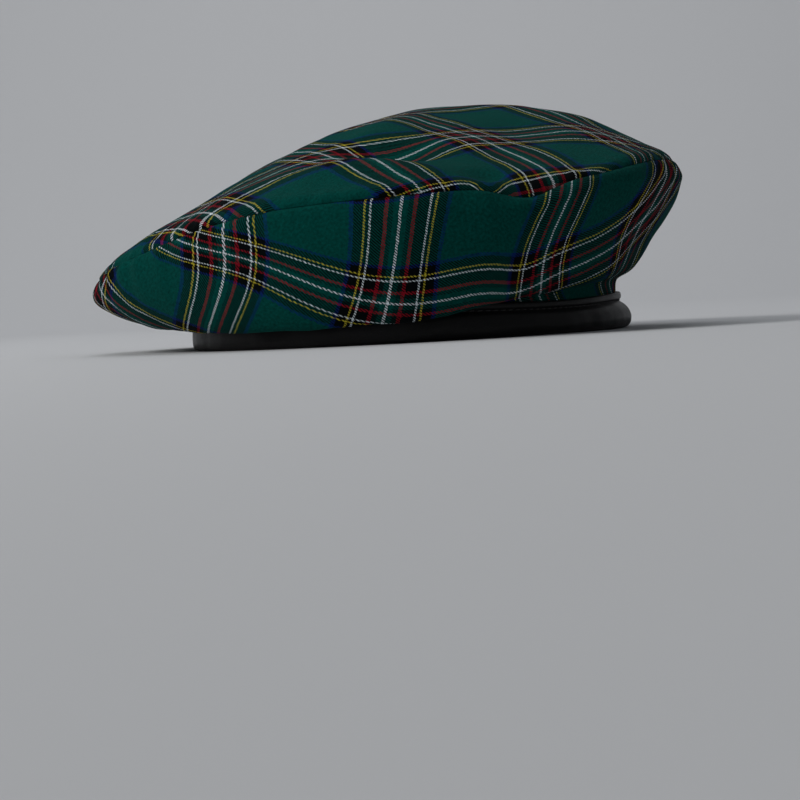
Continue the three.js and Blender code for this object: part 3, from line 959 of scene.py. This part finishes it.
# Materials
class Nodes:
    """Short calls for making and joining shader nodes."""

    def __init__(self, name):
        self.material = bpy.data.materials.new(name)
        self.material.use_nodes = True
        self.tree = self.material.node_tree
        self.tree.nodes.clear()
        self.output = self.add("ShaderNodeOutputMaterial")

    def add(self, kind, **values):
        node = self.tree.nodes.new(kind)
        for key, value in values.items():
            setattr(node, key, value)
        return node

    def link(self, source, target):
        if isinstance(source, (int, float)):
            target.default_value = source
        elif isinstance(source, tuple):
            wants_alpha = len(source) == 3 and len(target.default_value) == 4
            target.default_value = (*source, 1) if wants_alpha else source
        else:
            self.tree.links.new(source, target)

    def math(self, operation, *inputs):
        node = self.add("ShaderNodeMath", operation=operation)
        for socket, value in zip(node.inputs, inputs):
            self.link(value, socket)
        return node.outputs[0]

    def mix(self, factor, a, b):
        node = self.add("ShaderNodeMix", data_type="RGBA", blend_type="MIX")
        self.link(factor, node.inputs[0])
        self.link(a, node.inputs[COLOUR_A])
        self.link(b, node.inputs[COLOUR_B])
        return node.outputs[COLOUR_RESULT]

    def noise(self, vector, scale, detail, roughness=0.5):
        node = self.add("ShaderNodeTexNoise")
        self.link(vector, node.inputs["Vector"])
        node.inputs["Scale"].default_value = scale
        node.inputs["Detail"].default_value = detail
        node.inputs["Roughness"].default_value = roughness
        return node.outputs[0]

    def bands(self, factor, stops):
        node = self.add("ShaderNodeValToRGB")
        ramp = node.color_ramp
        ramp.interpolation = "CONSTANT"
        while len(ramp.elements) > 1:
            ramp.elements.remove(ramp.elements[-1])
        ramp.elements[0].position = stops[0][0]
        ramp.elements[0].color = (*stops[0][1], 1)
        for position, colour in stops[1:]:
            ramp.elements.new(position).color = (*colour, 1)
        self.link(factor, node.inputs[0])
        return node.outputs[0]

    def bump(self, height, strength, distance):
        node = self.add("ShaderNodeBump")
        node.inputs["Strength"].default_value = strength
        node.inputs["Distance"].default_value = distance
        self.link(height, node.inputs["Height"])
        return node.outputs[0]

    def surface(self, values):
        """Ends the material with a surface whose named inputs take these values."""
        shader = self.add("ShaderNodeBsdfPrincipled")
        for name, value in values.items():
            self.link(value, shader.inputs[name])
        self.link(shader.outputs[0], self.output.inputs[0])
        return self.material


def tartan_material():
    m = Nodes("tartan_wool")
    uv = m.add("ShaderNodeUVMap", uv_map="pattern").outputs[0]
    threads = m.add("ShaderNodeUVMap", uv_map="threads").outputs[0]
    split = m.add("ShaderNodeSeparateXYZ")
    m.link(uv, split.inputs[0])
    wobble = m.add("ShaderNodeTexNoise", noise_dimensions="2D")
    m.link(uv, wobble.inputs["Vector"])
    wobble.inputs["Scale"].default_value = WOBBLE_SCALE
    wobble.inputs["Detail"].default_value = WOBBLE_DETAIL
    shake = m.add("ShaderNodeSeparateColor")
    m.link(wobble.outputs[1], shake.inputs[0])

    stops = []
    at = 0.0
    for width, colour in SETT:
        stops.append((at / (REPEAT / 2), colour))
        at += width
    stops.append((at / (REPEAT / 2), GREEN))

    def stripe(axis, channel):
        shift = m.math("MULTIPLY", m.math("SUBTRACT", channel, 0.5), LINE_WOBBLE)
        place = m.math("ADD", axis, shift)
        # distance from the nearest band's middle, 0 to 1
        from_band = m.math("MULTIPLY", m.math("PINGPONG", place, 0.5), 2.0)
        return m.bands(from_band, stops)

    warp = stripe(split.outputs[0], shake.outputs[0])
    weft = stripe(split.outputs[1], shake.outputs[1])
    count = m.add("ShaderNodeSeparateXYZ")
    m.link(threads, count.inputs[0])
    across = m.math("DIVIDE", count.outputs[0], THREAD)
    along = m.math("DIVIDE", count.outputs[1], THREAD)
    cell_a, cell_b = m.math("FLOOR", across), m.math("FLOOR", along)
    # two over, two under
    step = m.math("FLOORED_MODULO", m.math("ADD", cell_a, cell_b), 4.0)
    warp_on_top = m.math("LESS_THAN", step, 1.5)
    colour = m.mix(warp_on_top, weft, warp)
    # painted light and shade: each thread is lit along its middle and dark where it dives
    hump_a = m.math("SINE", m.math("MULTIPLY", m.math("FRACT", across), math.pi))
    hump_b = m.math("SINE", m.math("MULTIPLY", m.math("FRACT", along), math.pi))
    hump = m.math("ADD", m.math("MULTIPLY", hump_a, warp_on_top),
                  m.math("MULTIPLY", hump_b, m.math("SUBTRACT", 1.0, warp_on_top)))
    coordinates = m.add("ShaderNodeTexCoord").outputs["Object"]
    fade = m.noise(coordinates, *FADE_NOISE)
    slub = m.noise(threads, *SLUB_NOISE)
    # painted shade of the threads, then times the uneven dyeing and the uneven threads
    painted_shade_dye_and_slub = m.math("ADD", THREAD_PAINTED_SHADE, m.math("MULTIPLY", hump, THREAD_PAINTED_LIGHT))
    painted_shade_dye_and_slub = m.math("MULTIPLY", painted_shade_dye_and_slub, m.math("ADD", FADE_LOW, m.math("MULTIPLY", fade, FADE_MORE)))
    painted_shade_dye_and_slub = m.math("MULTIPLY", painted_shade_dye_and_slub, m.math("ADD", SLUB_LOW, m.math("MULTIPLY", slub, SLUB_MORE)))
    lit = m.add("ShaderNodeVectorMath", operation="SCALE")
    m.link(colour, lit.inputs[0])
    m.link(painted_shade_dye_and_slub, lit.inputs["Scale"])

    fuzz = m.noise(coordinates, *FUZZ_NOISE)
    height = m.math("ADD", m.math("MULTIPLY", hump, THREAD_BUMP), m.math("MULTIPLY", fuzz, FUZZ_BUMP))
    normal = m.bump(height, *WOOL_BUMP)
    return m.surface({"Base Color": lit.outputs[0], "Normal": normal, **WOOL_SURFACE})


def leather_material():
    m = Nodes("black_leather")
    coordinates = m.add("ShaderNodeTexCoord").outputs["Object"]
    cells = m.add("ShaderNodeTexVoronoi", feature="DISTANCE_TO_EDGE")
    m.link(coordinates, cells.inputs["Vector"])
    cells.inputs["Scale"].default_value = LEATHER_CELLS
    pits = m.math("MINIMUM", m.math("MULTIPLY", cells.outputs[0], PIT_EDGE), 1.0)
    fine = m.noise(coordinates, *FINE_NOISE)
    creases = m.noise(coordinates, *CREASE_NOISE)
    grain = m.math("MULTIPLY", pits, PIT_BUMP)
    folds = m.math("ADD", m.math("MULTIPLY", fine, FINE_BUMP), m.math("MULTIPLY", creases, CREASE_BUMP))
    height = m.math("ADD", grain, folds)
    normal = m.bump(height, *LEATHER_BUMP)
    colour = m.mix(m.noise(coordinates, *WORN_NOISE), LEATHER_DARK, LEATHER_LIGHT)
    rough = m.noise(coordinates, *ROUGH_NOISE)
    roughness = m.math("ADD", ROUGH_LOW, m.math("MULTIPLY", rough, ROUGH_MORE))
    return m.surface({"Base Color": colour, "Roughness": roughness, "Normal": normal, **LEATHER_SURFACE})


def thread_material():
    m = Nodes("black_thread")
    coordinates = m.add("ShaderNodeTexCoord").outputs["Object"]
    strand = m.noise(coordinates, *STRAND_NOISE)
    colour = m.mix(strand, THREAD_BLACK, THREAD_GREY)
    normal = m.bump(strand, *STRAND_BUMP)
    return m.surface({"Base Color": colour, "Normal": normal, "Roughness": STRAND_ROUGHNESS})


cloth = tartan_material()
leather = leather_material()
thread = thread_material()
for piece, node, material, slot in (
    (crown_top, "crown_top", cloth, "tartan_cloth"),
    (crown_side, "crown_side", cloth, "tartan_cloth"),
    (headband, "headband", leather, "binding_leather"),
    (stitches, None, thread, "binding_leather"),
):
    piece.data.materials.append(material)
    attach(piece, "root")
    if node:
        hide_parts(node)


# Studio
def make_backdrop():
    """Floor that sweeps up into a wall far behind."""
    profile = [(FLOOR_NEAR, 0.0), (SWEEP_START, 0.0)]
    for k in range(1, SWEEP_STEPS + 1):
        a = math.pi / 2 * k / SWEEP_STEPS
        profile.append((SWEEP_START + SWEEP_RADIUS * math.sin(a), SWEEP_RADIUS * (1 - math.cos(a))))
    profile.append((SWEEP_START + SWEEP_RADIUS, WALL_TOP))
    points, faces = [], []
    for k, (far, height) in enumerate(profile):
        for side in (-HALF_WIDTH, HALF_WIDTH):
            points.append(tuple(right * side + away * far + Vector((0, 0, height - FLOOR_DROP))))
        if k:
            b = 2 * k
            faces.append((b - 2, b - 1, b + 1, b))
    mesh = bpy.data.meshes.new("studio_floor")
    mesh.from_pydata(points, [], faces)
    obj = add_smooth_object("studio_floor", mesh)
    plain = Nodes("pale_floor")
    mesh.materials.append(plain.surface({"Base Color": FLOOR_COLOUR, "Roughness": FLOOR_ROUGHNESS}))


def from_middle(offset):
    to_right, to_away, to_top = offset
    return centre + right * to_right + away * to_away + Vector((0, 0, HAT_MIDDLE_HEIGHT + to_top))


def make_light(name, place, target, width, power, colour):
    data = bpy.data.lights.new(name, "AREA")
    data.shape = "DISK"
    data.size = width
    data.energy = power
    data.color = colour
    obj = add_object(name, data)
    obj.location = from_middle(place)
    obj.rotation_euler = (from_middle(target) - obj.location).to_track_quat("-Z", "Y").to_euler()


def make_world():
    world = bpy.data.worlds.new("studio_world")
    world.use_nodes = True
    background = world.node_tree.nodes["Background"]
    background.inputs[0].default_value = WORLD_COLOUR
    background.inputs[1].default_value = WORLD_STRENGTH
    bpy.context.scene.world = world


def make_camera():
    data = bpy.data.cameras.new("camera")
    data.lens = LENS
    data.sensor_width = SENSOR_WIDTH
    data.clip_start = CLIP_START
    data.clip_end = CLIP_END
    camera = add_object("camera", data)
    camera.matrix_world = Matrix((turned_right, turned_up, -look)).transposed().to_4x4()
    camera.location = camera_place
    return camera


make_backdrop()
for light in LIGHTS:
    make_light(*light)
make_world()
bpy.context.scene.camera = make_camera()

bpy.context.scene.view_settings.view_transform = "Standard"
bpy.context.scene.view_settings.look = "None"
